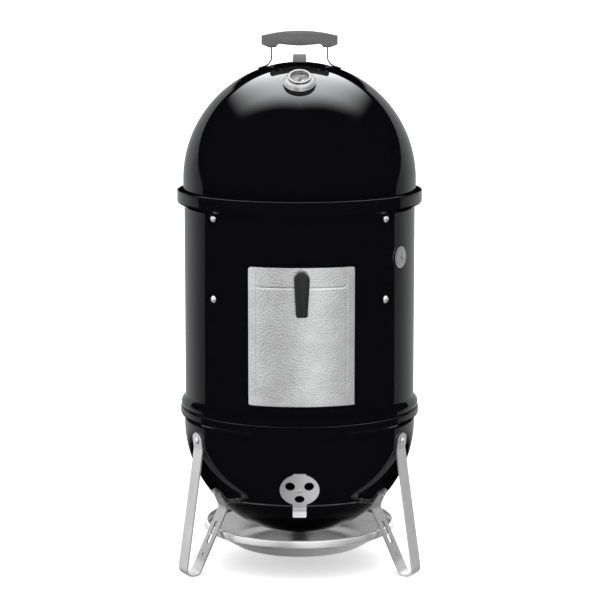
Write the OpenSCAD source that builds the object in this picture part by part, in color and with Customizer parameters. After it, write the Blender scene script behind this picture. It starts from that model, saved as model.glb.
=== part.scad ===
// Vertical water smoker. A charcoal bowl stands on three bent legs, a barrel with a door
// sits in the bowl's rim, and a domed lid sits in the barrel's collar. The charcoal grate
// and ring, the water pan and two cooking grates are inside.
// Millimetres, +Z up, origin on the vertical axis at floor level, front towards -Y.

/* [Shells] */
// Outer radius of the lid and of the bowl, both half spheres
shell_r = 228; // [227:0.5:229]
// Thickness of the enamelled steel
shell_t = 1.5; // [1.2:0.1:1.8]
// Outer radius of the barrel
barrel_r = 226; // [225:0.5:226.5]
// Outer radius of the collar that the lid sits in
collar_r = 239.8; // [238:0.2:242]
// Height of the lid's centre of curvature
lid_z = 766; // [760:1:775]
// Height of the bowl's centre of curvature
bowl_z = 288; // [286:1:290]
// Height of the collar's top edge
collar_top = 745; // [743:1:747]

/* [Legs] */
// Width of a leg's strap
leg_w = 35; // [30:1:38]
// Thickness of a leg's strap
leg_t = 3; // [2.5:0.5:4]
// Inner radius of the bend that a leg stands on
foot_r = 12; // [10:1:13]
// Length of the flat that a leg stands on
foot_flat = 4; // [3:0.5:5]

/* [Door] */
// Height of the door's lower edge
door_low = 356; // [354:1:358]
// Height of the door's upper edge
door_high = 621; // [619:1:624]
// Half of the angle that the door covers
door_half = 26; // [25:0.5:27]
// Turn of the door's middle away from straight ahead
door_turn = 1; // [0:0.5:2]
// Thickness of the door's sheet
door_t = 1.4; // [1.2:0.1:1.6]

/* [Dampers] */
// Diameter of a damper's disc
damper_d = 76; // [74:1:78]
// Diameter of a vent hole
vent_d = 19; // [16:0.5:20]
// Radius of the circle that the vent holes lie on
vent_circle = 21; // [20:0.5:22]

/* [Thermometer] */
// Diameter of the thermometer's base
gauge_d = 63; // [60:1:66]
// Height of the thermometer above its seat
gauge_h = 17; // [16:0.5:18]

/* [Lid handle] */
// Length of the grip
grip_l = 148; // [142:1:154]
// Depth of the grip, front to back
grip_w = 30; // [28:1:32]
// Height of the grip's top above the floor
grip_top = 1054; // [1050:1:1056]

/* [Inside] */
// Outer radius of the upper cooking grate
upper_grate_r = 216; // [210:1:216]
// Outer radius of the lower cooking grate
lower_grate_r = 211; // [208:1:213]
// Height of the shelf that the upper grate rests on
upper_shelf = 684; // [680:1:688]
// Height of the shelf that the lower grate rests on
lower_shelf = 566; // [564:1:570]
// Height of the shelf that the water pan hangs from
pan_shelf = 513; // [510:1:516]
// Depth of the water pan
pan_depth = 122; // [110:1:126]
// Outer radius of the charcoal ring
ring_r = 178; // [170:1:184]
// Height of the charcoal ring
ring_h = 150; // [130:1:155]

/* [Hidden] */
$fn = 96;

gap = 0.3;            // between curved sheets that slide or rest on each other
fit = 0.05;           // running fit of a pin in its hole
enamel = [0.03, 0.03, 0.035];
metal = [0.74, 0.75, 0.76];
bright = [0.85, 0.86, 0.87];
nylon = [0.10, 0.10, 0.11];

leg_turns = [-60, 60, 180];
damper_turns = [0, -120, 120];
bracket_turns = [-46.7, 46.7, -133.3, 133.3];
bowl_damper_tilt = 116;       // from straight up, measured at the bowl's centre
lid_damper_tilt = 32;
gauge_tilt = 32;
leg_top_tilt = 95.5;
leg_flange_tilt = 125;

rim_r = 235.5;                // bowl's rolled rim
rim_top = bowl_z + 30;
skirt_r = barrel_r - 0.5;     // barrel's foot, inside the bowl's rim
bead_low = rim_top + gap;
barrel_low = bowl_z + 10;
lid_low = collar_top - 24;
rivet_r = 2.4;
bolt_r = 3;
leg_hole_r = 3;
leg_slot_r = 5;
bolt_head_r = 7;
bolt_heights = [550.5, 705.5];
nut_r = 5.8;                  // corner radius of a hex nut
strap_w = 20;
strap_t = 2;
strap_out = barrel_r - shell_t - 0.4;   // bracket strap's outer face
opening_low = door_low + 20;
opening_high = door_high - 12;
opening_half = 79;
door_in = barrel_r + 1;
door_out = door_in + door_t;
hinge_y = 228;                // door tilts about its lower edge
latch_z = door_high - 21;
latch_in = 213.4;
grip_low = grip_top - 32;
strap_x = 54.5;               // lid handle's straps
grate_seat = 205;             // charcoal grate's supports
rod_r = 2.2;
hoop_r = 3;
rod_lift = 2 * hoop_r + rod_r - 1.2;    // rods' centre above a grille's underside
ring_low = grate_seat + gap + rod_lift + rod_r + gap;

// ---- outlines ----

function unit(v) = v / norm(v);
function arc(c, r, a0, a1, n = 12) =
    [for (i = [0:n]) let (a = a0 + (a1 - a0) * i / n) c + r * [cos(a), sin(a)]];
// The arc of radius r that rounds corner b of the path a, b, c
function bend(a, b, c, r) =
    let (u = unit(a - b), v = unit(c - b), half = acos(u * v) / 2,
        centre = b + unit(u + v) * r / sin(half),
        first = b + u * r / tan(half) - centre,
        start = atan2(first[1], first[0]),
        turn = sign(cross(-u, v)) * (180 - 2 * half))
    arc(centre, r, start, start + turn, 5);
// A path through [x, z, radius] corners
function path(p) = [for (i = [0:len(p) - 1])
    each p[i][2] == 0 ? [[p[i][0], p[i][1]]]
        : bend([p[i - 1][0], p[i - 1][1]], [p[i][0], p[i][1]], [p[i + 1][0], p[i + 1][1]], p[i][2])];
// A path given thickness t on its left side
function offset_point(p, i, t) =
    let (before = i > 0 ? unit(p[i] - p[i - 1]) : unit(p[1] - p[0]),
        after = i < len(p) - 1 ? unit(p[i + 1] - p[i]) : before,
        along = unit(before + after))
    p[i] + t / (along * before) * [-along[1], along[0]];
function sheet(p, t) = concat(p, [for (i = [len(p) - 1:-1:0])
    let (q = offset_point(p, i, t)) [max(q[0], 0), q[1]]]);
function rest(points) = [for (i = [1:len(points) - 1]) points[i]];
function rounded_box(w, low, high, r) =
    path([[0, low, 0], [w, low, r], [w, high, r], [-w, high, r], [-w, low, r], [0, low, 0]]);
function on_arc(c, r, tilt) = [r * sin(tilt), c + r * cos(tilt)];
// Where a line from q touches the circle about c, on its side s
function touch(q, c, r, s) = atan2(q[1] - c[1], q[0] - c[0]) + s * acos(r / norm(q - c));
function rods(r, pitch) = [for (i = [-floor((r - 8) / pitch):floor((r - 8) / pitch)]) i * pitch];

// ---- placing ----

// Local +X points outwards at this turn from the front, local +Y to the right
module at_turn(a) rotate([0, 0, a - 90]) children();

// On a sphere about height c: local +Z outwards, local -X up the sphere
module on_sphere(c, a, tilt) translate([0, 0, c]) at_turn(a) rotate([0, tilt, 0]) children();

// An outline in the local Y-Z plane, pushed through the barrel's wall
module through_wall(a, from, to) at_turn(a) translate([from, 0, 0]) rotate([90, 0, 90])
    linear_extrude(to - from) children();

// A strap bent in the local X-Z plane, w wide
module strap(points, w) rotate([90, 0, 0]) linear_extrude(w, center = true) polygon(points);

module ball_shell(inner, outer) difference() {
    sphere(outer);
    sphere(inner);
}

module tube(outer, inner, from, to) translate([0, 0, from]) difference() {
    cylinder(r = outer, h = to - from);
    translate([0, 0, -1]) cylinder(r = inner, h = to - from + 2);
}

module pin(r, from, to) translate([0, 0, from]) cylinder(r = r, h = to - from);

// Low round head of radius r and height h, flat side at 0
module button_head(r, h) intersection() {
    cylinder(r = r, h = h);
    translate([0, 0, h - (r * r + h * h) / (2 * h)]) sphere((r * r + h * h) / (2 * h) + 0.01);
}

// ---- bowl and what is fixed to it ----

module bowl() color(enamel) difference() {
    rotate_extrude() polygon(sheet(concat(
        arc([0, bowl_z], shell_r, -90, -2.5, 35),
        path([[shell_r, bowl_z, 0], [shell_r, bowl_z + 9, 8], [rim_r, bowl_z + 16, 4],
            [rim_r, rim_top, 2.5], [rim_r - 5, rim_top, 0]])), shell_t));
    for (a = damper_turns) on_sphere(bowl_z, a, bowl_damper_tilt) vent_holes(vent_d / 2 - 1);
    for (a = leg_turns, tilt = [leg_top_tilt, leg_flange_tilt])
        on_sphere(bowl_z, a, tilt) pin(bolt_r + gap, shell_r - 10, shell_r + 5);
}

module vent_holes(r) {
    pin(rivet_r + fit, shell_r - 10, shell_r + 10);
    for (k = [0:2]) rotate([0, 0, k * 120]) translate([vent_circle, 0, 0])
        pin(r, shell_r - 10, shell_r + 10);
}

// Inner side of the leg's strap: down from the bowl, round the foot and up to the bowl again
module leg(a) color(metal) at_turn(a) difference() {
    foot = [248.5, leg_t + foot_r];
    heel = foot - [foot_flat, 0];
    seat = shell_r + 0.2;
    kink = [174, 127.5];
    top = on_arc(bowl_z, seat, 99.6);
    arm_turn = touch(kink, heel, foot_r, 1) - 360;
    arm = heel + foot_r * [cos(arm_turn), sin(arm_turn)];
    strap(sheet(concat(
        arc([0, bowl_z], seat, -1.5, -9.6, 4),
        arc(foot, foot_r, touch(top, foot, foot_r, -1), -90, 8),
        arc(heel, foot_r, -90, arm_turn, 6),
        rest(path([concat(arm, 0), concat(kink, 9), concat(on_arc(bowl_z, seat + leg_t, 127.5), 0)])),
        [for (tilt = [126.5:-1:122.5]) on_arc(bowl_z, seat + leg_t, tilt)]), leg_t), leg_w);
    for (tilt = [leg_top_tilt, leg_flange_tilt])
        translate([0, 0, bowl_z]) rotate([0, tilt, 0]) pin(bolt_r + gap, shell_r - 5, shell_r + 15);
    leg_ends(91.5);
    leg_ends(122.5);
    // slot for the heat shield's tab, and a small hole below it, up the inner arm
    translate([arm[0], 0, arm[1]]) rotate([0, atan2(kink[0] - arm[0], kink[1] - arm[1]), 0]) {
        translate([-10, -leg_slot_r, 60]) cube([20, 2 * leg_slot_r, 37]);
        for (z = [60, 97]) translate([-10, 0, z]) rotate([0, 90, 0]) cylinder(r = leg_slot_r, h = 20);
        translate([-10, 0, 32.4]) rotate([0, 90, 0]) cylinder(r = leg_hole_r, h = 20);
    }
}

// Cuts a strap's end at this tilt to a half round
module leg_ends(tilt) translate([0, 0, bowl_z]) rotate([0, tilt, 0])
    translate([0, 0, shell_r - 4]) linear_extrude(14) difference() {
        translate([-1, -leg_w / 2 - 1]) square([leg_w / 3 + 1, leg_w + 2]);
        translate([leg_w * 0.6, 0]) circle(leg_w * 0.6);
    }

module leg_left() leg(leg_turns[0]);
module leg_right() leg(leg_turns[1]);
module leg_rear() leg(leg_turns[2]);

module leg_bolts() color(metal)
    for (a = leg_turns, tilt = [leg_top_tilt, leg_flange_tilt]) on_sphere(bowl_z, a, tilt) {
        translate([0, 0, shell_r + leg_t + 0.8]) button_head(bolt_head_r, 4);
        pin(bolt_r, shell_r - shell_t - 8, shell_r + leg_t + 1);
    }

module leg_nuts() color(metal)
    for (a = leg_turns, tilt = [leg_top_tilt, leg_flange_tilt]) on_sphere(bowl_z, a, tilt)
        nut(shell_r - shell_t - 5.6);

module nut(from) translate([0, 0, from]) difference() {
    cylinder(r = nut_r, h = 5, $fn = 6);
    translate([0, 0, -1]) cylinder(r = bolt_r + 0.02, h = 7);
}

module heat_shield() color(metal) {
    rotate_extrude() polygon(sheet(path([[0, 32, 0], [120, 32, 60], [180, 68, 8], [190, 70, 2.5],
        [190, 84, 1.5], [185, 84, 0]]), 1));
    for (a = leg_turns) at_turn(a) translate([189.5, -4, 76]) cube([14, 8, 1.2]);
}

module charcoal_grate_supports() color(enamel)
    for (a = leg_turns) at_turn(a) intersection() {
        translate([0, 0, bowl_z]) sphere(shell_r - shell_t - 0.2);
        union() {
            translate([190, -10, grate_seat - 2]) cube([40, 20, 2]);
            difference() {
                translate([190, -10, grate_seat - 20]) cube([40, 20, 20]);
                translate([0, 0, bowl_z]) sphere(shell_r - shell_t - 2.2);
            }
        }
    }

// ---- dampers ----

// Disc with three holes, a short tab on one side and a bent-out finger tab on the other
module damper(finger) {
    inner = shell_r + gap;
    outer = inner + 1.2;
    tab_w = 26.7;
    intersection() {
        ball_shell(inner, outer);
        translate([0, 0, shell_r - 20]) linear_extrude(30) difference() {
            union() {
                circle(damper_d / 2);
                polygon([for (p = rounded_box(tab_w / 2, -50, 39, 4)) [-p[1], p[0]]]);
            }
            circle(rivet_r + fit);
            for (k = [0:2]) rotate(k * 120) translate([vent_circle, 0]) circle(vent_d / 2);
        }
    }
    intersection() {
        strap(sheet(path([[48, shell_r - 3.9, 0], [54, shell_r - 5, 6], [65, shell_r + finger, 0]]), 1.4),
            tab_w);
        translate([0, 0, shell_r - 20]) linear_extrude(50)
            polygon([for (p = rounded_box(tab_w / 2, -66, -44, 5)) [-p[1], p[0]]]);
    }
}

module bowl_damper(a) color(metal) on_sphere(bowl_z, a, bowl_damper_tilt) damper(2);
module bowl_damper_front() bowl_damper(damper_turns[0]);
module bowl_damper_left() bowl_damper(damper_turns[1]);
module bowl_damper_right() bowl_damper(damper_turns[2]);

module rivet() {
    translate([0, 0, shell_r + 1.7]) button_head(4.5, 2);
    pin(rivet_r, shell_r - shell_t - 1.2, shell_r + 1.8);
    translate([0, 0, shell_r - shell_t - 0.2]) mirror([0, 0, 1]) button_head(4, 1.6);
}

module bowl_damper_rivets() color(bright)
    for (a = damper_turns) on_sphere(bowl_z, a, bowl_damper_tilt) rivet();

module lid_damper() color(metal)
    on_sphere(lid_z, 180, lid_damper_tilt) rotate([0, 0, 180]) damper(13);
module lid_damper_rivet() color(bright) on_sphere(lid_z, 180, lid_damper_tilt) rivet();

// ---- charcoal chamber ----

// Hoop with parallel rods welded across its top
module grille(r, z, pitch) {
    translate([0, 0, z + hoop_r]) rotate_extrude() translate([r - hoop_r, 0]) circle(hoop_r);
    for (x = rods(r, pitch)) translate([x, 0, z + rod_lift]) rotate([90, 0, 0])
        cylinder(r = rod_r, h = 2 * sqrt(pow(r - hoop_r, 2) - x * x), center = true);
}

module charcoal_grate() color(metal) grille(206, grate_seat + gap, 17);

module charcoal_ring() color([0.45, 0.46, 0.47]) difference() {
    tube(ring_r, ring_r - 1, ring_low, ring_low + ring_h);
    for (k = [0:11], row = [0:2]) rotate([0, 0, k * 15 + (row % 2) * 7.5])
        translate([-ring_r - 5, -8, ring_low + 24 + row * 42]) cube([2 * ring_r + 10, 16, 18]);
}

// ---- barrel and what is fixed to it ----

module barrel() color(enamel) difference() {
    rotate_extrude() {
        polygon(sheet(path([[skirt_r, barrel_low, 0], [skirt_r, bead_low, 2], [234, bead_low, 2.5],
            [234, bead_low + 11, 5], [barrel_r, bead_low + 21, 8], [barrel_r, collar_top - 28, 6],
            [collar_r, collar_top - 23.5, 5], [collar_r, collar_top, 0]]), shell_t));
        translate([collar_r - 1.2, collar_top]) circle(1.6);
    }
    through_wall(door_turn, barrel_r - 50, barrel_r + 20)
        polygon(rounded_box(opening_half, opening_low, opening_high, 10));
    for (a = bracket_turns, z = bolt_heights) at_turn(a) translate([0, 0, z]) rotate([0, 90, 0])
        pin(bolt_r + gap, barrel_r - 20, barrel_r + 20);
    probe_place() pin(15, barrel_r - 20, barrel_r + 20);
}

// The probe grommet's axis, local +Z outwards
module probe_place() translate([0, 0, 627]) at_turn(58.2) rotate([0, 90, 0]) children();

module probe_eyelet() color(bright) difference() {
    probe_place() tube(21, 16, barrel_r - 5, barrel_r + 2.4);
    cylinder(r = barrel_r + 0.1, h = 1000, $fn = 256);
}

module probe_grommet() color([0.5, 0.5, 0.52]) difference() {
    probe_place() union() {
        pin(15.8, barrel_r - 1, barrel_r + 3.6);
        pin(14.8, barrel_r - 6, barrel_r);
        pin(18, barrel_r - 8, barrel_r - 5);
    }
    difference() {
        cylinder(r = barrel_r + 0.1, h = 1000);
        cylinder(r = barrel_r - shell_t - 0.1, h = 1000);
        probe_place() pin(14.9, barrel_r - 20, barrel_r + 10);
    }
    probe_place() for (k = [0:2]) rotate([0, 0, k * 60])
        translate([-10, -0.5, barrel_r - 10]) cube([20, 1, 20]);
}

// Upright strap with three shelves: upper grate, lower grate, water pan
module grate_bracket(a) color(metal) at_turn(a) difference() {
    union() {
        translate([strap_out - strap_t, -strap_w / 2, pan_shelf - 12])
            cube([strap_t, strap_w, bolt_heights[1] + 12 - pan_shelf + 12]);
        for (s = [[upper_shelf, 200], [lower_shelf, 198], [pan_shelf, 196]])
            translate([s[1], -strap_w / 2, s[0] - strap_t])
                cube([strap_out - s[1] - 1, strap_w, strap_t]);
    }
    for (z = bolt_heights) translate([0, 0, z]) rotate([0, 90, 0])
        pin(bolt_r + gap, barrel_r - 20, barrel_r);
}
module grate_bracket_front_left() grate_bracket(bracket_turns[0]);
module grate_bracket_front_right() grate_bracket(bracket_turns[1]);
module grate_bracket_rear_left() grate_bracket(bracket_turns[2]);
module grate_bracket_rear_right() grate_bracket(bracket_turns[3]);

module bracket_bolts() color(bright)
    for (a = bracket_turns, z = bolt_heights) translate([0, 0, z]) at_turn(a) rotate([0, 90, 0]) {
        translate([0, 0, barrel_r + 0.1]) button_head(bolt_head_r, 3.6);
        pin(bolt_r, barrel_r - 9.4, barrel_r + 0.5);
    }

module bracket_nuts() color(metal)
    for (a = bracket_turns, z = bolt_heights) translate([0, 0, z]) at_turn(a) rotate([0, 90, 0])
        nut(strap_out - strap_t - 5.2);

// ---- door and latch ----

module door_panel() color(metal) difference() {
    intersection() {
        tube(door_out, door_in, door_low, door_high);
        through_wall(door_turn, door_in - 60, door_out + 10)
            polygon(rounded_box(door_out * sin(door_half), door_low, door_high, 5));
    }
    at_turn(door_turn) translate([0, 0, latch_z]) rotate([0, 90, 0])
        pin(bolt_r + fit, door_in - 5, door_out + 5);
}

// Two curved catches that pass round the opening's lower edge as the door tilts
module door_hooks() color(metal) at_turn(door_turn) for (y = [-45, 45]) translate([0, y, 0])
    strap(sheet(concat([[hinge_y - 6.9, opening_low + 22]],
        arc([hinge_y, door_low], 23, 107.5, 162, 10)), -1.5), 12);

module latch_place() at_turn(door_turn) translate([0, 0, latch_z]) rotate([0, 90, 0]) children();

// Lever that hangs down from its boss, clear of the door
module door_handle() color(nylon) latch_place() difference() {
    union() {
        pin(12, door_out + 0.6, door_out + 12);
        translate([0, 0, door_out + 10]) linear_extrude(13) hull() {
            circle(15);
            translate([60, 0]) circle(10.5);
        }
    }
    pin(bolt_r + 0.02, door_out, door_out + 16);
}

module latch_screw() color(bright) latch_place() pin(bolt_r, latch_in - 1, door_out + 15.8);
module latch_bush() color(metal) latch_place()
    tube(6, bolt_r + 0.02, latch_in + 6.6, door_in - 0.6);
module latch_tongue() color(metal) latch_place() difference() {
    translate([0, 0, latch_in + 4.4]) linear_extrude(2) hull() {
        circle(8);
        translate([0, 26]) circle(7);
    }
    pin(bolt_r + 0.02, latch_in, latch_in + 10);
}
module latch_nut() color(metal) latch_place() translate([0, 0, latch_in]) difference() {
    cylinder(r = nut_r, h = 4, $fn = 6);
    translate([0, 0, -1]) cylinder(r = bolt_r + 0.02, h = 6);
}

// ---- water pan and cooking grates ----

module water_pan() color(enamel) rotate_extrude() polygon(sheet(path([
    [0, pan_shelf - pan_depth, 0], [152, pan_shelf - pan_depth, 28], [187, pan_shelf + gap, 4],
    [210, pan_shelf + gap, 1.8], [210, pan_shelf + 4, 0]]), 1.2));

module lower_grate() color(bright) grille(lower_grate_r, lower_shelf + gap, 18);
module upper_grate() color(bright) grille(upper_grate_r, upper_shelf + gap, 19);

// Two wire loops that stand on the grille at x = -x0 and x0
module wire_loops(x0, z, height) {
    half = 32;
    for (s = [-1, 1]) translate([s * x0, 0, z]) rotate([90, 0, 90]) {
        for (y = [-half, half]) translate([y, 0, 0]) rotate([-90, 0, 0]) cylinder(r = 2.5, h = height - 8);
        translate([0, height, 0]) rotate([0, 90, 0])
            cylinder(r = 2.5, h = 2 * half - 16, center = true);
        for (m = [0, 1]) mirror([m, 0, 0]) translate([half - 8, height - 8, 0])
            rotate_extrude(angle = 90) translate([8, 0]) circle(2.5);
    }
}
loop_z = rod_lift + rod_r + 0.4;
module lower_grate_handles() color(bright) wire_loops(162, lower_shelf + loop_z, 24);
module upper_grate_handles() color(bright) wire_loops(162, upper_shelf + loop_z, 30);

// ---- lid and what is fixed to it ----

module lid() color(enamel) difference() {
    rotate_extrude() {
        polygon(sheet(concat([[shell_r, lid_low + 1]], arc([0, lid_z], shell_r, 0, 90, 36)), shell_t));
        translate([shell_r - 0.2, lid_low + 1.5]) circle(1.5);
    }
    on_sphere(lid_z, 180, lid_damper_tilt) rotate([0, 0, 180]) vent_holes(vent_d / 2 - 1);
    on_sphere(lid_z, 0, gauge_tilt) pin(6.6, shell_r - 10, shell_r + 5);
}

// Steel strap on edge: up from a foot on the dome into the grip
module handle_bracket(side) color(enamel) mirror([side, 0, 0]) difference() {
    dome_r = shell_r + gap;
    strap(sheet(concat([for (x = [80:-3:68]) [x, lid_z + sqrt(dome_r * dome_r - x * x)]],
        path([[65, lid_z + sqrt(dome_r * dome_r - 65 * 65), 0], [60, 988.3, 6],
            [strap_x - 1.2, 998, 8], [strap_x - 1.2, grip_top - 15, 0]])), -2.4), 25);
    translate([strap_x, 0, grip_top - 20]) rotate([0, 90, 0]) cylinder(r = 2.3, h = 10, center = true);
}
module handle_bracket_left() handle_bracket(1);
module handle_bracket_right() handle_bracket(0);

// Arched grip, pocketed at both ends for the straps
module handle_grip() color([0.36, 0.36, 0.37]) difference() {
    intersection() {
        rotate([90, 0, 0]) linear_extrude(grip_w, center = true) polygon(concat(
            arc([0, grip_top - 284], 284, 90 + 14.6, 90 - 14.6, 16),
            path([[grip_l / 2, grip_top - 9, 0], [grip_l / 2, grip_low + 6, 3],
                [strap_x + 4, grip_low, 8], [strap_x - 8, grip_low, 3], [strap_x - 14, grip_low + 7, 5],
                [0, grip_low + 3.5, 120], [-strap_x + 14, grip_low + 7, 5], [-strap_x + 8, grip_low, 3],
                [-strap_x - 4, grip_low, 8], [-grip_l / 2, grip_low + 6, 3],
                [-grip_l / 2, grip_top - 9, 0]])));
        rotate([90, 0, 90]) linear_extrude(grip_l + 10, center = true)
            polygon(rounded_box(grip_w / 2, grip_low - 1, grip_top + 0.5, 7));
    }
    for (s = [-1, 1]) {
        translate([s * strap_x - 1.6, -12.8, grip_low - 5]) cube([3.2, 25.6, 23]);
        translate([s * (strap_x - 4), 0, grip_top - 20]) rotate([0, s * 90, 0]) cylinder(r = 2.3, h = 30);
        translate([s * (grip_l / 2 - 6), 0, grip_top - 20]) rotate([0, s * 90, 0]) cylinder(r = 4.6, h = 10);
    }
}

module handle_screws() color(bright) for (s = [-1, 1])
    translate([0, 0, grip_top - 20]) rotate([0, s * 90, 0]) {
        pin(2.2, strap_x - 3.8, grip_l / 2 - 5.8);
        translate([0, 0, grip_l / 2 - 5.9]) button_head(4.3, 2.6);
    }

// ---- thermometer ----

module gauge_place() on_sphere(lid_z, 0, gauge_tilt) children();
gauge_seat = shell_r + 1.2;           // top of the gasket

module thermometer_gasket() color(nylon) gauge_place() difference() {
    tube(gauge_d / 2, 20, shell_r - 3, gauge_seat);
    sphere(shell_r + 0.1, $fn = 256);
}

module thermometer_bezel() color(bright) gauge_place() translate([0, 0, gauge_seat + 0.05])
    rotate_extrude() polygon(concat(
        path([[gauge_d / 2, 0, 0], [gauge_d / 2, 3, 1.5], [gauge_d / 2 - 5, gauge_h - 6, 10],
            [22.5, gauge_h - 5, 2], [22.5, gauge_h, 1.2], [18, gauge_h, 1.2], [17.5, gauge_h - 4, 0]]),
        [[17.5, gauge_h - 6], [25, gauge_h - 12], [25, 4], [7, 4], [7, 0]]));

module thermometer_lens() color([0.8, 0.9, 0.95, 0.3]) gauge_place()
    pin(17.2, gauge_seat + gauge_h - 6, gauge_seat + gauge_h - 4.5);
module thermometer_dial() color("white") gauge_place() translate([0, 0, gauge_seat + 4.2]) difference() {
    cylinder(r = 24, h = 0.8);
    translate([0, 0, -1]) cylinder(r = 1.5, h = 3);
}

// Pointer with its hub and arbor, at 35 degrees to the right of straight up
module thermometer_needle() color(nylon) gauge_place() rotate([0, 0, 145])
    translate([0, 0, gauge_seat]) {
        pin(1.45, 4.3, 7.5);
        pin(2.4, 7, 8.4);
        translate([0, 0, 7.2]) linear_extrude(0.8)
            polygon([[-5, -1.4], [-5, 1.4], [11, 1.3], [14.5, 0], [11, -1.3]]);
    }

module thermometer_stem() color(metal) gauge_place() {
    pin(6.4, shell_r - 14, gauge_seat + 4);
    pin(2.5, shell_r - 78, shell_r - 14);
}
module thermometer_nut() color(metal) gauge_place() translate([0, 0, shell_r - shell_t - 7])
    difference() {
        cylinder(r = 12, h = 6, $fn = 6);
        translate([0, 0, -1]) cylinder(r = 6.45, h = 8);
    }

bowl();
leg_left();
leg_right();
leg_rear();
leg_bolts();
leg_nuts();
heat_shield();
charcoal_grate_supports();
bowl_damper_rivets();
bowl_damper_front();
bowl_damper_left();
bowl_damper_right();
charcoal_grate();
charcoal_ring();
barrel();
probe_eyelet();
probe_grommet();
grate_bracket_front_left();
grate_bracket_front_right();
grate_bracket_rear_left();
grate_bracket_rear_right();
bracket_bolts();
bracket_nuts();
door_panel();
door_hooks();
door_handle();
latch_screw();
latch_bush();
latch_tongue();
latch_nut();
water_pan();
lower_grate();
lower_grate_handles();
upper_grate();
upper_grate_handles();
lid();
lid_damper();
lid_damper_rivet();
handle_grip();
handle_bracket_left();
handle_bracket_right();
handle_screws();
thermometer_gasket();
thermometer_bezel();
thermometer_lens();
thermometer_dial();
thermometer_needle();
thermometer_stem();
thermometer_nut();
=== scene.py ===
import math

import bmesh
import bpy
from mathutils import Matrix, Vector, noise


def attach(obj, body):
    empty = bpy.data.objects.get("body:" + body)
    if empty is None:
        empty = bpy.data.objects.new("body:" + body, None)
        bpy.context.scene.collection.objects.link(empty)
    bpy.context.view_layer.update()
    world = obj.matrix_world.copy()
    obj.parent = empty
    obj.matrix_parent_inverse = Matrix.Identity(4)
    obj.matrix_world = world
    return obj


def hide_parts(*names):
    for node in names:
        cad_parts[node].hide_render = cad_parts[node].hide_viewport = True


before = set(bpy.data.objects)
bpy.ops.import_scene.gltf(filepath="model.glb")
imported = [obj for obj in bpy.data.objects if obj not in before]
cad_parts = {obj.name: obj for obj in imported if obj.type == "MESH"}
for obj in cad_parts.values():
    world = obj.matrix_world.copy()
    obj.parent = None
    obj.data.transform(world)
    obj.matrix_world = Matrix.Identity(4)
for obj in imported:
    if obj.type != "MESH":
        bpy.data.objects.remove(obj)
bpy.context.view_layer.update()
scene = bpy.context.scene

# ---- studio ----
# A pale floor under an evenly lit white room. Polished enamel mirrors the parts of the room
# that a glossy shell shows: a broad softbox overhead and two pale walls behind the smoker,
# with the dark front half of the room between them.

scene.view_settings.view_transform = "Standard"

camera_data = bpy.data.cameras.new("studio_camera")
camera_data.sensor_width = 36
camera_data.lens = 144.17
camera_data.shift_x = 0.0007
camera = bpy.data.objects.new("studio_camera", camera_data)
camera.location = (0, -4.6864, 1.2622)
camera.rotation_euler = (math.radians(90 - 8.94), 0, 0)
scene.collection.objects.link(camera)
scene.camera = camera


def add_node(tree, kind, inputs=None, **settings):
    """A shader node with its settings, and each input set to a value or linked to a socket."""
    node = tree.nodes.new(kind)
    for key, value in settings.items():
        setattr(node, key, value)
    for key, value in (inputs or {}).items():
        if isinstance(value, bpy.types.NodeSocket):
            tree.links.new(value, node.inputs[key])
        else:
            node.inputs[key].default_value = value
    return node


def add_sum(tree, operation, *values):
    """A Math node on these values, and its result."""
    return add_node(
        tree, "ShaderNodeMath", dict(enumerate(values)), operation=operation
    ).outputs[0]


def add_step(tree, value, low, high, start=0.0, end=1.0):
    """Goes smoothly from start to end while value goes from low to high."""
    return add_node(
        tree,
        "ShaderNodeMapRange",
        {"Value": value, "From Min": low, "From Max": high, "To Min": start, "To Max": end},
        interpolation_type="SMOOTHSTEP",
    ).outputs[0]


world = bpy.data.worlds.new("studio_room")
scene.world = world
world.use_nodes = True
room = world.node_tree
room.nodes.clear()
direction = add_node(room, "ShaderNodeTexCoord").outputs["Generated"]
toward = add_node(room, "ShaderNodeSeparateXYZ", {0: direction}).outputs
sideways = add_sum(room, "ABSOLUTE", toward[0])
height = add_sum(room, "MAXIMUM", toward[2], 0.001)
level = add_sum(room, "SQRT", add_sum(
    room, "SUBTRACT", 1.0, add_sum(room, "MULTIPLY", toward[2], toward[2])))
behind = add_sum(room, "DIVIDE", toward[1], add_sum(room, "MAXIMUM", level, 0.001))
box_back = add_sum(room, "DIVIDE", toward[1], height)
box_side = add_sum(room, "DIVIDE", sideways, height)
box_front = add_sum(room, "SUBTRACT", box_back, add_sum(room, "MULTIPLY", box_side, 0.25))
softbox = add_sum(
    room,
    "MULTIPLY",
    add_sum(
        room,
        "MULTIPLY",
        add_step(room, box_front, -0.28, 0.2),
        add_step(room, box_back, 1.5, 1.4),
    ),
    add_step(room, box_side, 1.1, 0.1),
)
softbox = add_sum(room, "MULTIPLY", softbox, add_step(room, toward[2], 0.0, 0.05))
over_level = add_sum(room, "MAXIMUM", toward[2], -0.11)
wall_front = add_sum(room, "SUBTRACT", behind, add_sum(room, "MULTIPLY", over_level, 1.05))
wall_top = add_sum(room, "SUBTRACT", sideways, add_sum(room, "MULTIPLY", toward[2], 0.9))
pale_wall = add_sum(
    room,
    "MULTIPLY",
    add_sum(room, "MULTIPLY", add_step(room, wall_front, 0.43, 0.47),
            add_step(room, toward[2], -0.3, -0.21)),
    add_step(room, wall_top, -0.02, 0.03),
)
wall_glow = add_step(room, behind, 0.35, 0.8, 0.24, 0.48)
mirrored = add_sum(
    room,
    "ADD",
    add_sum(room, "MULTIPLY", softbox, 7.5),
    add_sum(room, "MULTIPLY", pale_wall, wall_glow),
)
overhead = add_sum(room, "MULTIPLY", add_step(room, toward[2], -0.1, 0.9, 0.8, 1.5),
                   add_step(room, toward[2], -0.6, -0.1, 0.4, 1.0))
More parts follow.
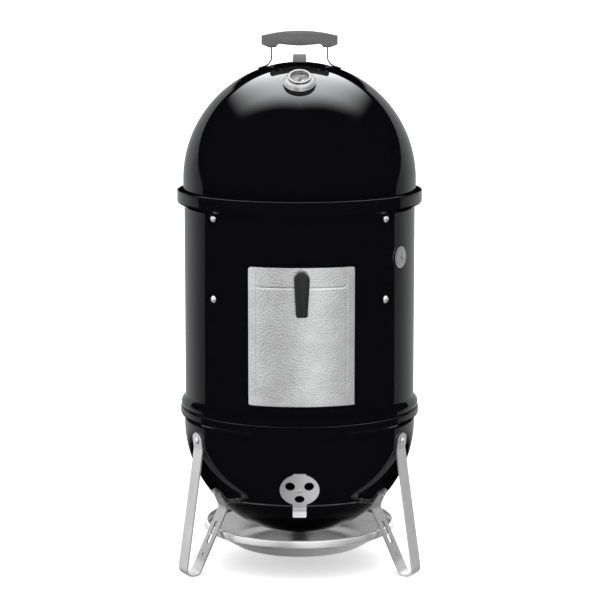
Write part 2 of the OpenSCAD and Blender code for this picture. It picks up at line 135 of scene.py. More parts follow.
side_light = add_sum(room, "ADD", add_step(room, toward[0], -0.12, 0.34, 0.0, 0.3),
                     add_step(room, toward[0], 0.42, 0.9, 0.0, -0.75))
bands = add_sum(room, "MULTIPLY", add_sum(room, "SINE", add_sum(
    room, "ADD", add_sum(room, "MULTIPLY", toward[0], 8.0), 1.0)), 0.14)
front_dim = add_step(room, toward[1], -0.2, -0.95, 0.1, -0.08)
soft = add_sum(room, "ADD", add_sum(room, "ADD", overhead, bands),
               add_sum(room, "ADD", side_light, front_dim))
rays = add_node(room, "ShaderNodeLightPath").outputs
seen = add_node(room, "ShaderNodeBackground", {"Color": (1, 1, 1, 1), "Strength": 1.0}).outputs[0]
mirror_room = add_node(
    room, "ShaderNodeBackground", {"Color": (0.98, 0.99, 1, 1), "Strength": mirrored}
).outputs[0]
soft_room = add_node(
    room, "ShaderNodeBackground", {"Color": (1, 1, 1, 1), "Strength": soft}
).outputs[0]
inner = add_node(
    room, "ShaderNodeMixShader", {0: rays["Is Singular Ray"], 1: soft_room, 2: mirror_room}
).outputs[0]
whole = add_node(room, "ShaderNodeMixShader", {0: rays["Is Camera Ray"], 1: inner, 2: seen}).outputs[0]
add_node(room, "ShaderNodeOutputWorld", {"Surface": whole})

floor_mesh = bmesh.new()
bmesh.ops.create_grid(floor_mesh, x_segments=1, y_segments=1, size=30)
floor_data = bpy.data.meshes.new("studio_floor")
floor_mesh.to_mesh(floor_data)
floor_mesh.free()
floor = bpy.data.objects.new("studio_floor", floor_data)
scene.collection.objects.link(floor)
floor.visible_glossy = False
floor_finish = bpy.data.materials.new("floor_paper")
floor_finish.use_nodes = True
for key, value in {"Base Color": (0.93, 0.93, 0.93, 1), "Roughness": 1.0, "Specular IOR Level": 0.0,
                   "Emission Color": (1, 1, 1, 1), "Emission Strength": 0.48}.items():
    floor_finish.node_tree.nodes["Principled BSDF"].inputs[key].default_value = value
floor_data.materials.append(floor_finish)

# ---- enamelled shells ----
# Bowl, barrel and lid are pressed from sheet steel, dipped in black porcelain enamel and fired.
# The glaze is as smooth as glass, with the faint ripple of a fired coat and fine lighter flecks.


def new_finish(name, **sockets):
    """A material with a Principled BSDF, whose constant sockets are set. Gives all of its parts."""
    material = bpy.data.materials.new(name)
    material.use_nodes = True
    tree = material.node_tree
    surface = tree.nodes["Principled BSDF"]
    for key, value in sockets.items():
        surface.inputs[key.replace("_", " ")].default_value = value
    place = add_node(tree, "ShaderNodeTexCoord").outputs["Object"]
    return material, tree, surface, place


def new_effect(name, takes, gives):
    """An empty node group with these inputs and outputs."""
    group = bpy.data.node_groups.new(name, "ShaderNodeTree")
    for label, kind, value in takes:
        socket = group.interface.new_socket(label, in_out="INPUT", socket_type=kind)
        if value is not None:
            socket.default_value = value
    for label, kind in gives:
        group.interface.new_socket(label, in_out="OUTPUT", socket_type=kind)
    source = group.nodes.new("NodeGroupInput").outputs
    result = group.nodes.new("NodeGroupOutput").inputs
    return group, source, result


def use_effect(tree, group, **inputs):
    node = tree.nodes.new("ShaderNodeGroup")
    node.node_tree = group
    for key, value in inputs.items():
        if isinstance(value, bpy.types.NodeSocket):
            tree.links.new(value, node.inputs[key])
        else:
            node.inputs[key].default_value = value
    return node.outputs


def join(tree, source, target):
    tree.links.new(source, target)


def tint(tree, surface, red, green, blue):
    """Sets the base colour from three tones."""
    join(tree, add_node(tree, "ShaderNodeCombineColor", {0: red, 1: green, 2: blue}).outputs[0],
         surface.inputs["Base Color"])


def paint(material, *nodes):
    """Gives CAD nodes this finish, in every material slot."""
    for name in nodes:
        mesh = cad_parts[name].data
        for index in range(max(1, len(mesh.materials))):
            if index < len(mesh.materials):
                mesh.materials[index] = material
            else:
                mesh.materials.append(material)


# Uneven shade: broad soft blotches from handling and heat, between Low and High
blotches, taken, given = new_effect(
    "blotches",
    [("Place", "NodeSocketVector", None), ("Scale", "NodeSocketFloat", 9.0),
     ("Low", "NodeSocketFloat", 0.0), ("High", "NodeSocketFloat", 1.0)],
    [("Value", "NodeSocketFloat")],
)
cloud = add_node(
    blotches, "ShaderNodeTexNoise",
    {"Vector": taken["Place"], "Scale": taken["Scale"], "Detail": 4.0, "Roughness": 0.55},
).outputs[0]
spread = add_node(
    blotches, "ShaderNodeMapRange",
    {"Value": cloud, "From Min": 0.3, "From Max": 0.7, "To Min": taken["Low"], "To Max": taken["High"]},
).outputs[0]
join(blotches, spread, given["Value"])

# Grain: a fine even texture as a height, with its own size
grain, taken, given = new_effect(
    "grain",
    [("Place", "NodeSocketVector", None), ("Scale", "NodeSocketFloat", 900.0)],
    [("Height", "NodeSocketFloat")],
)
fine = add_node(
    grain, "ShaderNodeTexNoise",
    {"Vector": taken["Place"], "Scale": taken["Scale"], "Detail": 2.0, "Roughness": 0.6},
).outputs[0]
join(grain, fine, given["Height"])

enamel, tree, surface, place = new_finish("enamel", IOR=1.5)
fleck = add_node(tree, "ShaderNodeTexVoronoi", {"Vector": place, "Scale": 700.0}).outputs["Distance"]
fleck_mask = add_node(
    tree, "ShaderNodeMapRange", {"Value": fleck, "From Min": 0.16, "From Max": 0.08}
).outputs[0]
fleck_share = use_effect(tree, blotches, Place=place, Scale=60.0, Low=0.0, High=0.5)["Value"]
glaze = add_node(
    tree, "ShaderNodeMix",
    {0: add_sum(tree, "MULTIPLY", fleck_mask, fleck_share),
     6: (0.0025, 0.0025, 0.003, 1), 7: (0.02, 0.022, 0.025, 1)},
    data_type="RGBA",
).outputs[2]
join(tree, glaze, surface.inputs["Base Color"])
join(tree, use_effect(tree, blotches, Place=place, Scale=7.0, Low=0.0012, High=0.0034)["Value"],
     surface.inputs["Roughness"])
ripple = use_effect(tree, grain, Place=place, Scale=55.0)["Height"]
join(tree, add_node(tree, "ShaderNodeBump",
                    {"Height": ripple, "Strength": 0.12, "Distance": 0.0003}).outputs[0],
     surface.inputs["Normal"])
paint(enamel, "handle_bracket_left", "handle_bracket_right")

# ---- legs and dampers ----
# Strips of satin aluminium: the legs bent in one piece, the dampers pressed to the shell's curve
# with a finger bent out. Rolling has left fine lines along the sheet.


def from_axis(tree, place):
    """How far a place is from the upright axis, and how high it is."""
    apart = add_node(tree, "ShaderNodeSeparateXYZ", {0: place}).outputs
    flat = add_node(tree, "ShaderNodeCombineXYZ", {0: apart[0], 1: apart[1]}).outputs[0]
    return add_node(tree, "ShaderNodeVectorMath", {0: flat}, operation="LENGTH").outputs["Value"], apart[2]


def rolled_sheet(name, shaded_tone, lit_tone):
    """Satin aluminium, with painted shade: darker inside the shell's radius and lighter where it stands out
    beyond it.
    """
    finish, tree, surface, place = new_finish(name, Metallic=1.0)
    radius = from_axis(tree, place)[0]
    # Painted shade and light: parts within the shell's radius, such as the legs' inner arms, get the darker
    # tone, and the outer straps the lighter one.
    tone = add_sum(tree, "MULTIPLY", add_step(tree, radius, 0.222, 0.23, shaded_tone, lit_tone),
                   use_effect(tree, blotches, Place=place, Scale=14.0, Low=0.9, High=1.08)["Value"])
    tint(tree, surface, tone, tone, add_sum(tree, "MULTIPLY", tone, 1.012))
    lines = add_node(tree, "ShaderNodeMapping", {"Vector": place, "Scale": (900.0, 900.0, 14.0)}).outputs[0]
    rolled = add_node(tree, "ShaderNodeTexNoise", {"Vector": lines, "Scale": 1.0, "Detail": 3.0}).outputs[0]
    join(tree, add_node(tree, "ShaderNodeMapRange",
                        {"Value": rolled, "From Min": 0.3, "From Max": 0.7, "To Min": 0.3, "To Max": 0.46}
                        ).outputs[0], surface.inputs["Roughness"])
    join(tree, add_node(tree, "ShaderNodeBump",
                        {"Height": rolled, "Strength": 0.25, "Distance": 0.00005}).outputs[0],
         surface.inputs["Normal"])
    return finish


# Painted shade: the legs' inner arms are darker (0.44) than their lit outer straps (0.66).
paint(rolled_sheet("strap_metal", 0.44, 0.66), "leg_left", "leg_right", "leg_rear")
paint(rolled_sheet("damper_metal", 0.86, 0.86), "bowl_damper_front", "bowl_damper_left",
      "bowl_damper_right")
paint(rolled_sheet("lid_damper_metal", 0.5, 0.5), "lid_damper")

# Every length below is in millimetres, and a finished mesh is brought to metres.
around = 256


def at_turn(turn):
    """Turns a place so that its X points out at this turn from the front, and its Y to the right."""
    return Matrix.Rotation(math.radians(turn - 90), 4, "Z")


def on_ball(centre, turn, tilt):
    """A place on a ball about this height: Z out of it, -X up along it."""
    return (Matrix.Translation((0, 0, centre)) @ at_turn(turn)
            @ Matrix.Rotation(math.radians(tilt), 4, "Y"))


def trace(mesh, corners):
    """A line through (out, up, corner radius) points in the X-Z plane, with its corners rounded."""
    line = [Vector((x, 0, z)) for x, z, _ in corners]
    points = [mesh.verts.new(point) for point in line]
    for pair in zip(points, points[1:]):
        mesh.edges.new(pair)
    for i in range(1, len(line) - 1):
        radius = corners[i][2]
        if radius:
            turn = math.pi - (line[i - 1] - line[i]).angle(line[i + 1] - line[i])
            bmesh.ops.bevel(
                mesh, geom=[points[i]], offset=radius * math.tan(turn / 2), offset_type="OFFSET",
                segments=6, profile=0.5, affect="VERTICES", material=-1)


def trace_arc(mesh, start, centre, turn, steps):
    """A point swept round a centre in the X-Z plane, as a line of edges."""
    point = mesh.verts.new((start[0], 0, start[1]))
    bmesh.ops.spin(mesh, geom=[point], cent=(centre[0], 0, centre[1]), axis=(0, 1, 0),
                   angle=math.radians(turn), steps=steps)


def spin_round(mesh, steps=around):
    """Spins the traced lines once round the upright axis, and closes seams and poles."""
    bmesh.ops.remove_doubles(mesh, verts=mesh.verts, dist=0.001)
    bmesh.ops.spin(mesh, geom=mesh.verts[:] + mesh.edges[:], cent=(0, 0, 0), axis=(0, 0, 1),
                   angle=math.tau, steps=steps, use_merge=True)
    bmesh.ops.remove_doubles(mesh, verts=mesh.verts, dist=0.001)
    bmesh.ops.recalc_face_normals(mesh, faces=mesh.faces)


def add_roll(mesh, radius, height, thick, steps=around):
    """A rolled hem: a round bead along an edge."""
    roll = bmesh.new()
    bmesh.ops.create_circle(
        roll, segments=14, radius=thick,
        matrix=Matrix.Translation((radius, 0, height)) @ Matrix.Rotation(math.pi / 2, 4, "X"))
    spin_round(roll, steps)
    add_to(mesh, roll)


def add_to(mesh, other):
    """Puts a second mesh into the first."""
    data = bpy.data.meshes.new("passing")
    other.to_mesh(data)
    other.free()
    mesh.from_mesh(data)
    bpy.data.meshes.remove(data)


def add_pin(mesh, place, radius, low, high, segments=48):
    """A round bar along the place's Z."""
    bmesh.ops.create_cone(
        mesh, cap_ends=True, segments=segments, radius1=radius, radius2=radius, depth=high - low,
        matrix=place @ Matrix.Translation((0, 0, (low + high) / 2)))


def make(name, mesh, material, slot_name, body, *nodes, wall=None, cutter=None, sharp=32):
    """Gives a mesh its wall, cuts and finish, in metres, and lets it ride and stand for CAD nodes."""
    data = bpy.data.meshes.new(name)
    mesh.to_mesh(data)
    mesh.free()
    data.transform(Matrix.Scale(0.001, 4))
    piece = bpy.data.objects.new(name, data)
    scene.collection.objects.link(piece)
    extra = []
    if wall:
        solid = piece.modifiers.new("wall", "SOLIDIFY")
        solid.thickness, solid.offset, solid.use_even_offset = wall / 1000, -1, True
    if cutter:
        cutter_data = bpy.data.meshes.new("cutter")
        cutter.to_mesh(cutter_data)
        cutter.free()
        cutter_data.transform(Matrix.Scale(0.001, 4))
        knife = bpy.data.objects.new("cutter", cutter_data)
        scene.collection.objects.link(knife)
        extra.append(knife)
        cut = piece.modifiers.new("cut", "BOOLEAN")
        cut.operation, cut.solver, cut.object = "DIFFERENCE", "EXACT", knife
    if wall or cutter:
        ready = piece.evaluated_get(bpy.context.evaluated_depsgraph_get())
        final = bpy.data.meshes.new_from_object(ready)
        piece.modifiers.clear()
        piece.data = final
        bpy.data.meshes.remove(data)
        final.name = name
        data = final
    for knife in extra:
        bpy.data.objects.remove(knife)
    data.materials.clear()
    data.materials.append(material)
    data.polygons.foreach_set("use_smooth", [True] * len(data.polygons))
    data.set_sharp_from_angle(angle=math.radians(sharp))
    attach(piece, body)
    if nodes:
        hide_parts(*nodes)
    return piece


bowl_centre, lid_centre, ball = 288, 766, 228
shell_wall, bolt_hole = 1.5, 3.3
damper_turns, leg_turns = (0, -120, 120), (-60, 60, 180)
damper_tilt, gauge_tilt = 116, 32


def add_vent_holes(mesh, place):
    """Three vent holes about a rivet's hole."""
    add_pin(mesh, place, 2.45, ball - 10, ball + 10, 24)
    for turn in (0, 120, 240):
        add_pin(mesh, place @ Matrix.Rotation(math.radians(turn), 4, "Z")
                @ Matrix.Translation((21, 0, 0)), 8.5, ball - 10, ball + 10)


bowl = bmesh.new()
trace_arc(bowl, (0, bowl_centre - ball), (0, bowl_centre), -90, 64)
trace(bowl, [(ball, bowl_centre, 0), (228, 297, 8), (235.5, 304, 4), (235.5, 318, 2.5), (230.5, 318, 0)])
spin_round(bowl)
holes = bmesh.new()
for turn in damper_turns:
    add_vent_holes(holes, on_ball(bowl_centre, turn, damper_tilt))
for turn in leg_turns:
    for tilt in (95.5, 125):
        add_pin(holes, on_ball(bowl_centre, turn, tilt), bolt_hole, ball - 10, ball + 5, 24)
make("enamelled_bowl", bowl, enamel, "enamel", "bowl", "bowl", wall=shell_wall, cutter=holes)

barrel = bmesh.new()
trace(barrel, [(225.5, 298, 0), (225.5, 318.3, 2), (234, 318.3, 2.5), (234, 329.3, 5), (226, 339.3, 8),
               (226, 717, 6), (239.8, 721.5, 5), (239.8, 745, 0)])
spin_round(barrel)
bmesh.ops.bisect_plane(barrel, geom=barrel.verts[:] + barrel.edges[:] + barrel.faces[:],
                       plane_co=(0, 0, 530), plane_no=(0, 0, 1), dist=0.001)
holes = bmesh.new()
bmesh.ops.create_cube(
    holes, size=1, matrix=at_turn(1) @ Matrix.Translation((211, 0, 492.5))
    @ Matrix.Diagonal((70, 158, 233, 1)))
upright = [edge for edge in holes.edges if abs((edge.verts[0].co - edge.verts[1].co).normalized().dot(
    at_turn(1) @ Vector((1, 0, 0)))) > 0.9]
bmesh.ops.bevel(holes, geom=upright, offset=10, offset_type="OFFSET", segments=8, profile=0.5,
                affect="EDGES", material=-1)
for turn in (-46.7, 46.7, -133.3, 133.3):
    for level_up in (550.5, 705.5):
        add_pin(holes, Matrix.Translation((0, 0, level_up)) @ at_turn(turn)
                @ Matrix.Rotation(math.pi / 2, 4, "Y"), bolt_hole, 206, 246, 24)
add_pin(holes, Matrix.Translation((0, 0, 627)) @ at_turn(58.2) @ Matrix.Rotation(math.pi / 2, 4, "Y"),
        15, 206, 246)
make("enamelled_barrel", barrel, enamel, "enamel", "barrel", "barrel", wall=shell_wall, cutter=holes)
collar_roll = bmesh.new()
add_roll(collar_roll, 238.6, 745, 1.6)
make("collar_roll", collar_roll, enamel, "enamel", "barrel")

lid = bmesh.new()
trace(lid, [(ball, 722, 0), (ball, lid_centre, 0)])
trace_arc(lid, (ball, lid_centre), (0, lid_centre), -90, 64)
spin_round(lid)
holes = bmesh.new()
add_vent_holes(holes, on_ball(lid_centre, 180, gauge_tilt) @ Matrix.Rotation(math.pi, 4, "Z"))
add_pin(holes, on_ball(lid_centre, 0, gauge_tilt), 6.6, ball - 10, ball + 5)
make("enamelled_lid", lid, enamel, "enamel", "lid", "lid", wall=shell_wall, cutter=holes)
lid_roll = bmesh.new()
add_roll(lid_roll, 227.8, 722.5, 1.5)
make("lid_roll", lid_roll, enamel, "enamel", "lid")

# ---- heat shield ----
# A shallow dish spun from aluminium sheet, with an upright rim turned in at its top. Three tabs
# hold it in the slots of the legs, and two short creases are pressed into its slope.

spun_metal, tree, surface, place = new_finish("spun_aluminium", Metallic=1.0)
radius, tall = from_axis(tree, place)
rings = add_node(tree, "ShaderNodeTexNoise", {
    "Vector": add_node(tree, "ShaderNodeCombineXYZ", {0: radius, 2: tall}).outputs[0],
    "Scale": 1400.0, "Detail": 3.0}).outputs[0]
# Painted shade and painted reflection: below its rim the dish is much darker, standing in for the shade
# under the bowl and the black bowl mirrored in it.
dish_shade_under_rim = add_step(tree, tall, 0.069, 0.071, 0.26, 0.97)
tone = add_sum(tree, "MULTIPLY", dish_shade_under_rim,
               use_effect(tree, blotches, Place=place, Scale=11.0, Low=0.86, High=1.06)["Value"])
tint(tree, surface, tone, tone, tone)
join(tree, add_node(tree, "ShaderNodeMapRange",
                    {"Value": rings, "From Min": 0.3, "From Max": 0.7, "To Min": 0.2, "To Max": 0.32}
                    ).outputs[0], surface.inputs["Roughness"])
join(tree, add_node(tree, "ShaderNodeBump", {"Height": rings, "Strength": 0.2, "Distance": 0.00005}
                    ).outputs[0], surface.inputs["Normal"])

shield = bmesh.new()
trace(shield, [(0, 32, 0), (120, 32, 60), (180, 68, 8), (190, 70, 2.5), (190, 84, 1.5), (185, 84, 0)])
spin_round(shield)
make("heat_shield_dish", shield, spun_metal, "strap_metal", "bowl", "heat_shield", wall=1.0)
add_roll(fittings := bmesh.new(), 185.2, 83.5, 0.9)
for turn in leg_turns:
    tab = bmesh.ops.create_cube(
        fittings, size=1, matrix=at_turn(turn) @ Matrix.Translation((196.5, 0, 76.6))
        @ Matrix.Diagonal((14, 8, 1.2, 1)))["verts"]
    bmesh.ops.bevel(fittings, geom=list({edge for vert in tab for edge in vert.link_edges}), offset=0.3,
                    offset_type="OFFSET", segments=2, profile=0.5, affect="EDGES", material=-1)
make("heat_shield_tabs", fittings, spun_metal, "strap_metal", "bowl")

creases = bmesh.new()
slope = math.atan2(36, 60)
for side in (-1, 1):
    bead = bmesh.new()
    bmesh.ops.create_circle(bead, segments=10, radius=1.5, matrix=Matrix.Translation((30, 0, 0))
                            @ Matrix.Rotation(math.pi / 2, 4, "X"))
    bmesh.ops.spin(bead, geom=bead.verts[:] + bead.edges[:], cent=(0, 0, 0), axis=(0, 0, 1),
                   angle=math.radians(70), steps=20)
    bmesh.ops.holes_fill(bead, edges=[edge for edge in bead.edges if edge.is_boundary], sides=0)
    bmesh.ops.recalc_face_normals(bead, faces=bead.faces)
    bmesh.ops.transform(bead, verts=bead.verts, matrix=at_turn(24 * side)
                        @ Matrix.Translation((152, 0, 51.6)) @ Matrix.Rotation(-slope, 4, "Y")
                        @ Matrix.Translation((-3, -22 * side, 0)) @ Matrix.Diagonal((1, side, 0.45, 1)))
    add_to(creases, bead)
bmesh.ops.recalc_face_normals(creases, faces=creases.faces)
make("heat_shield_creases", creases, spun_metal, "strap_metal", "bowl")

# ---- bolts, nuts and rivets ----
# Plated steel fasteners: round-headed bolts through the bowl and the barrel with hex nuts inside,
# and aluminium rivets that the dampers turn on.

plating, tree, surface, place = new_finish("bright_plating", Metallic=1.0)
tone = use_effect(tree, blotches, Place=place, Scale=180.0, Low=0.72, High=0.82)["Value"]
tint(tree, surface, tone, tone, tone)
join(tree, use_effect(tree, blotches, Place=place, Scale=300.0, Low=0.1, High=0.24)["Value"],
     surface.inputs["Roughness"])
join(tree, add_node(tree, "ShaderNodeBump", {
    "Height": use_effect(tree, grain, Place=place, Scale=1500.0)["Height"], "Strength": 0.15,
    "Distance": 0.00005}).outputs[0], surface.inputs["Normal"])
paint(plating, "leg_bolts", "leg_nuts", "bowl_damper_rivets", "lid_damper_rivet", "bracket_bolts",
      "bracket_nuts", "handle_screws", "latch_screw", "latch_nut", "thermometer_nut")

# ---- inside: charcoal ring, brackets, grates and pan ----
# Rods of plated steel welded across hoops, a rolled sheet ring with windows, upright brackets of
# bare strip, and a deep drawn pan enamelled like the shells.

plated_wire, tree, surface, place = new_finish("plated_rod", Metallic=1.0)
tone = use_effect(tree, blotches, Place=place, Scale=30.0, Low=0.5, High=0.68)["Value"]
tint(tree, surface, tone, tone, tone)
join(tree, use_effect(tree, blotches, Place=place, Scale=120.0, Low=0.16, High=0.3)["Value"],
     surface.inputs["Roughness"])
join(tree, add_node(tree, "ShaderNodeBump", {
    "Height": use_effect(tree, grain, Place=place, Scale=900.0)["Height"], "Strength": 0.2,
    "Distance": 0.0001}).outputs[0], surface.inputs["Normal"])
paint(plated_wire, "charcoal_grate", "lower_grate", "lower_grate_handles", "upper_grate",
      "upper_grate_handles")

steel_sheet, tree, surface, place = new_finish("bare_steel", Metallic=1.0)
tone = use_effect(tree, blotches, Place=place, Scale=16.0, Low=0.36, High=0.52)["Value"]
tint(tree, surface, add_sum(tree, "MULTIPLY", tone, 1.02), tone, add_sum(tree, "MULTIPLY", tone, 0.98))
drawn = add_node(tree, "ShaderNodeTexNoise", {"Vector": add_node(
    tree, "ShaderNodeMapping", {"Vector": place, "Scale": (20.0, 20.0, 900.0)}).outputs[0],
    "Scale": 1.0, "Detail": 3.0}).outputs[0]
join(tree, add_node(tree, "ShaderNodeMapRange", {
    "Value": drawn, "From Min": 0.3, "From Max": 0.7, "To Min": 0.32, "To Max": 0.5}).outputs[0],
     surface.inputs["Roughness"])
join(tree, add_node(tree, "ShaderNodeBump", {"Height": drawn, "Strength": 0.2, "Distance": 0.00005}
                    ).outputs[0], surface.inputs["Normal"])
paint(steel_sheet, "charcoal_ring", "grate_bracket_front_left", "grate_bracket_front_right",
      "grate_bracket_rear_left", "grate_bracket_rear_right", "door_hooks", "latch_bush", "latch_tongue",
      "thermometer_stem")
paint(enamel, "water_pan", "charcoal_grate_supports")

# ---- door ----
# A panel of bright aluminium rolled with a pebbled face, curved to the barrel. A groove is pressed
# across it below the latch, and a row of dimples runs down each side, inside a flat border.

door_metal, tree, surface, place = new_finish("pebbled_aluminium", Metallic=1.0)
tone = use_effect(tree, blotches, Place=place, Scale=22.0, Low=0.66, High=0.78)["Value"]
tint(tree, surface, tone, add_sum(tree, "MULTIPLY", tone, 1.004), add_sum(tree, "MULTIPLY", tone, 1.012))
join(tree, use_effect(tree, blotches, Place=place, Scale=160.0, Low=0.12, High=0.2)["Value"],
     surface.inputs["Roughness"])
pebbles = add_node(tree, "ShaderNodeTexNoise", {"Vector": place, "Scale": 390.0, "Detail": 2.0}).outputs[0]
join(tree, add_node(tree, "ShaderNodeBump", {
    "Height": pebbles,
    "Strength": 1.0, "Distance": 0.0008}).outputs[0], surface.inputs["Normal"])

door_radius, door_low, door_high, door_wall, door_turn = 228.25, 356, 621, 1.2, 1
door_half, door_middle, door_rise = math.radians(26) * door_radius, (door_low + door_high) / 2, 132.5
corner_radius = 5
crease_at, groove_at = math.radians(21.8) * door_radius, 582.5
door = bmesh.new()
bmesh.ops.create_grid(door, x_segments=166, y_segments=220, size=1)


def dent(distance, width):
    return math.exp(-(distance / width) ** 2)


for vert in door.verts:
    across, up = vert.co.x * door_half, door_middle + vert.co.y * door_rise
    corner = Vector((max(0, abs(across) - door_half + corner_radius),
                     max(0, abs(up - door_middle) - door_rise + corner_radius)))
    if min(corner) > 0 and corner.length > corner_radius:
        corner = corner.normalized() * corner_radius
        across = math.copysign(door_half - corner_radius + corner.x, across)
        up = door_middle + math.copysign(door_rise - corner_radius + corner.y, up - door_middle)
    pebbled = max(0, min(1, (crease_at - 1 - abs(across)) / 3)) * max(0, min(1, (up - 362) / 6))
    lift = 0.24 * pebbled * noise.noise(Vector((across * 1.15, up, 0)) * 0.36)
    if 370 < up < 608:
        lift -= 0.65 * dent(abs(across) - crease_at, 1.3) * (0.55 + 0.45 * math.cos(up * math.tau / 4.4))
    if abs(across) < crease_at:
        end = max(0, abs(across) - crease_at + 9) / 9
        lift -= 1.0 * dent(up - groove_at - 4 * end * end, 1.4)
    lift -= 0.1 * dent(door_half - abs(across), 1.2) + 0.1 * dent(door_rise - abs(up - door_middle), 1.2)
    turned = across / door_radius
    out = door_radius + lift
    vert.co = at_turn(door_turn) @ Vector((out * math.cos(turned), out * math.sin(turned), up))
bmesh.ops.recalc_face_normals(door, faces=door.faces)
latch_hole = bmesh.new()
latch_place = Matrix.Translation((0, 0, 600)) @ at_turn(door_turn) @ Matrix.Rotation(math.pi / 2, 4, "Y")
add_pin(latch_hole, latch_place, 3.05, 218, 238, 24)
make("pebbled_door", door, door_metal, "door_metal", "door", "door_panel", wall=door_wall,
     cutter=latch_hole, sharp=50)

# ---- door latch ----
# The black nylon handle is moulded with a raised middle and rounded edges. It turns a steel
# tongue behind the wall on a screw through the door.

nylon, tree, surface, place = new_finish("black_nylon", IOR=1.38)
tone = use_effect(tree, blotches, Place=place, Scale=40.0, Low=0.005, High=0.009)["Value"]
tint(tree, surface, tone, tone, tone)
join(tree, use_effect(tree, blotches, Place=place, Scale=90.0, Low=0.3, High=0.44)["Value"],
     surface.inputs["Roughness"])
join(tree, add_node(tree, "ShaderNodeBump", {
    "Height": use_effect(tree, grain, Place=place, Scale=2200.0)["Height"], "Strength": 0.25,
    "Distance": 0.0001}).outputs[0], surface.inputs["Normal"])

handle_inside, handle_outside, handle_raised = 238.4, 249.4, 2.0
handle = bmesh.new()
trace(handle, [(-15, 0, 0), (-11, -70.5, 4.5), (11, -70.5, 4.5), (15, 0, 0)])
trace_arc(handle, (15, 0), (0, 0), -180, 28)
bmesh.ops.remove_doubles(handle, verts=handle.verts, dist=0.01)
face = bmesh.ops.contextual_create(handle, geom=handle.edges[:])["faces"]
moved = bmesh.ops.extrude_face_region(handle, geom=face)["geom"]
front = [item for item in moved if isinstance(item, bmesh.types.BMFace)]
bmesh.ops.translate(handle, verts=[item for item in moved if isinstance(item, bmesh.types.BMVert)],
                    vec=(0, handle_inside - handle_outside, 0))
bmesh.ops.recalc_face_normals(handle, faces=handle.faces)
bmesh.ops.inset_individual(handle, faces=front, thickness=4.6, depth=0, use_even_offset=True)
bmesh.ops.translate(handle, verts=front[0].verts, vec=(0, -handle_raised, 0))
for depth, offset in ((0, 1.2), (handle_inside - handle_outside, 3.0)):
    rim = [edge for edge in handle.edges if len(edge.link_faces) == 2
           and all(abs(vert.co.y - depth) < 0.01 for vert in edge.verts)
           and any(abs(f.normal.y) < 0.1 for f in edge.link_faces)]
    bmesh.ops.bevel(handle, geom=rim, offset=offset, offset_type="OFFSET", segments=5, profile=0.5,
                    affect="EDGES", material=-1)
bmesh.ops.transform(handle, verts=handle.verts, matrix=Matrix.Rotation(math.radians(door_turn), 4, "Z")
                    @ Matrix.Translation((0, -handle_inside, 600)))
boss = bmesh.new()
add_pin(boss, latch_place, 12, 229, 239.5)
bmesh.ops.bevel(boss, geom=[edge for edge in boss.edges if edge.calc_face_angle(0) > 1], offset=0.8,
                offset_type="OFFSET", segments=3, profile=0.5, affect="EDGES", material=-1)
add_to(handle, boss)
make("door_lever", handle, nylon, "nylon", "latch", "door_handle")

# ---- probe eyelet ----
# A bright ring pressed round the hole for a thermometer lead, with a soft grey silicone plug that
# is slit across its middle.

polished, tree, surface, place = new_finish("polished_steel", Metallic=1.0)
tone = use_effect(tree, blotches, Place=place, Scale=120.0, Low=0.42, High=0.5)["Value"]
tint(tree, surface, tone, tone, tone)
join(tree, use_effect(tree, blotches, Place=place, Scale=260.0, Low=0.1, High=0.17)["Value"],
     surface.inputs["Roughness"])
join(tree, add_node(tree, "ShaderNodeBump", {
    "Height": use_effect(tree, grain, Place=place, Scale=400.0)["Height"], "Strength": 0.06,
    "Distance": 0.0001}).outputs[0], surface.inputs["Normal"])
paint(polished, "probe_eyelet")

silicone, tree, surface, place = new_finish("grey_silicone", Subsurface_Weight=0.05, IOR=1.42)
tone = use_effect(tree, blotches, Place=place, Scale=70.0, Low=0.15, High=0.2)["Value"]
tint(tree, surface, tone, tone, add_sum(tree, "MULTIPLY", tone, 1.06))
join(tree, use_effect(tree, blotches, Place=place, Scale=200.0, Low=0.42, High=0.6)["Value"],
     surface.inputs["Roughness"])
join(tree, add_node(tree, "ShaderNodeBump", {
    "Height": use_effect(tree, grain, Place=place, Scale=1300.0)["Height"], "Strength": 0.2,
    "Distance": 0.0001}).outputs[0], surface.inputs["Normal"])
paint(silicone, "probe_grommet")

# ---- lid handle ----
# An arched grip moulded in grey nylon, with a raised panel on each side and finger ribs below,
# screwed to two enamelled straps that stand on the dome.

grip_nylon, tree, surface, place = new_finish("grey_nylon", IOR=1.5)
tone = use_effect(tree, blotches, Place=place, Scale=30.0, Low=0.092, High=0.115)["Value"]
tint(tree, surface, tone, add_sum(tree, "MULTIPLY", tone, 0.985), add_sum(tree, "MULTIPLY", tone, 0.99))
join(tree, use_effect(tree, blotches, Place=place, Scale=80.0, Low=0.5, High=0.66)["Value"],
     surface.inputs["Roughness"])
join(tree, add_node(tree, "ShaderNodeBump", {
    "Height": use_effect(tree, grain, Place=place, Scale=1700.0)["Height"], "Strength": 0.3,
    "Distance": 0.0001}).outputs[0], surface.inputs["Normal"])
paint(grip_nylon, "handle_grip")

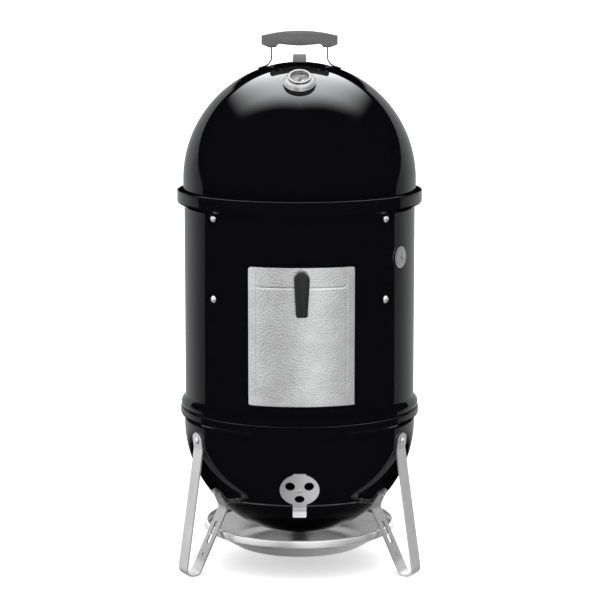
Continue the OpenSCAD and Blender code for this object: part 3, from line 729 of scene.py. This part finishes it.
panels = bmesh.new()
for side in (-1, 1):
    panel = bmesh.new()
    bmesh.ops.create_circle(panel, cap_ends=True, segments=72, radius=1)
    for vert in panel.verts:
        x, z = vert.co.x, vert.co.y
        vert.co = (41 * x, 14.4, 1035.8 + 8.2 * z - 1.5 * x * x * max(0, z) + 0.6 * x * x)
    raised = bmesh.ops.extrude_face_region(panel, geom=panel.faces[:])["geom"]
    bmesh.ops.translate(panel, verts=[item for item in raised if isinstance(item, bmesh.types.BMVert)],
                        vec=(0, 1.7, 0))
    bmesh.ops.recalc_face_normals(panel, faces=panel.faces)
    bmesh.ops.bevel(panel, geom=[e for e in panel.edges if all(v.co.y > 16 for v in e.verts)], offset=1.1,
                    offset_type="OFFSET", segments=4, profile=0.5, affect="EDGES", material=-1)
    bmesh.ops.transform(panel, verts=panel.verts, matrix=Matrix.Diagonal((1, side, 1, 1)))
    bmesh.ops.recalc_face_normals(panel, faces=panel.faces)
    add_to(panels, panel)
make("grip_panels", panels, grip_nylon, "grip_nylon", "lid")

ribs = bmesh.new()
for count in range(-6, 7):
    across = 4.7 * count
    rib = bmesh.new()
    add_pin(rib, Matrix.Translation((across, 0, 1026.4 + 0.086 * max(0, abs(across) - 5)))
            @ Matrix.Rotation(math.pi / 2, 4, "X"), 1.5, -12, 12, 16)
    bmesh.ops.bevel(rib, geom=[e for e in rib.edges if e.calc_face_angle(0) > 1], offset=0.9,
                    offset_type="OFFSET", segments=3, profile=0.5, affect="EDGES", material=-1)
    add_to(ribs, rib)
make("grip_ribs", ribs, grip_nylon, "grip_nylon", "lid")

# ---- lid thermometer ----
# A polished ring on a black gasket, screwed through the lid, with a glass front, a white printed
# plate and a black pointer that a coil on the stem turns.

paint(polished, "thermometer_bezel")

seal, tree, surface, place = new_finish("black_rubber", IOR=1.5)
tone = use_effect(tree, blotches, Place=place, Scale=60.0, Low=0.01, High=0.02)["Value"]
tint(tree, surface, tone, tone, tone)
join(tree, use_effect(tree, blotches, Place=place, Scale=150.0, Low=0.6, High=0.8)["Value"],
     surface.inputs["Roughness"])
paint(seal, "thermometer_gasket")

pointer, tree, surface, place = new_finish("pointer_black", IOR=1.45)
tone = use_effect(tree, blotches, Place=place, Scale=400.0, Low=0.006, High=0.012)["Value"]
tint(tree, surface, tone, tone, tone)
join(tree, use_effect(tree, blotches, Place=place, Scale=600.0, Low=0.4, High=0.6)["Value"],
     surface.inputs["Roughness"])
paint(pointer, "thermometer_needle")

lens_glass, tree, surface, place = new_finish("lens_glass", Transmission_Weight=1.0, IOR=1.45)
join(tree, use_effect(tree, blotches, Place=place, Scale=90.0, Low=0.0, High=0.02)["Value"],
     surface.inputs["Roughness"])
paint(lens_glass, "thermometer_lens")

dial_face, tree, surface, place = new_finish("dial_white", IOR=1.5)
tone = use_effect(tree, blotches, Place=place, Scale=90.0, Low=0.82, High=0.88)["Value"]
tint(tree, surface, tone, tone, tone)
join(tree, use_effect(tree, blotches, Place=place, Scale=300.0, Low=0.4, High=0.5)["Value"],
     surface.inputs["Roughness"])
gauge = on_ball(lid_centre, 0, gauge_tilt) @ Matrix.Translation((0, 0, ball + 1.2))
plate = bmesh.new()
trace(plate, [(1.5, 4.2, 0), (24, 4.2, 0.2), (24, 5.0, 0.2), (1.5, 5.0, 0), (1.5, 4.2, 0)])
spin_round(plate, 96)
bmesh.ops.transform(plate, verts=plate.verts, matrix=gauge)
make("dial_plate", plate, dial_face, "dial_face", "lid", "thermometer_dial")

marks = bmesh.new()
for count in range(31):
    middle, length, breadth = (14.6, 3.4, 0.7) if count % 5 == 0 else (15.3, 2.0, 0.35)
    mark = bmesh.new()
    bmesh.ops.create_cube(mark, size=1, matrix=gauge @ Matrix.Rotation(math.radians(45 + 9 * count), 4, "Z")
                          @ Matrix.Translation((middle, 0, 5.03))
                          @ Matrix.Diagonal((length, breadth, 0.1, 1)))
    add_to(marks, mark)
make("dial_marks", marks, pointer, "pointer", "lid")
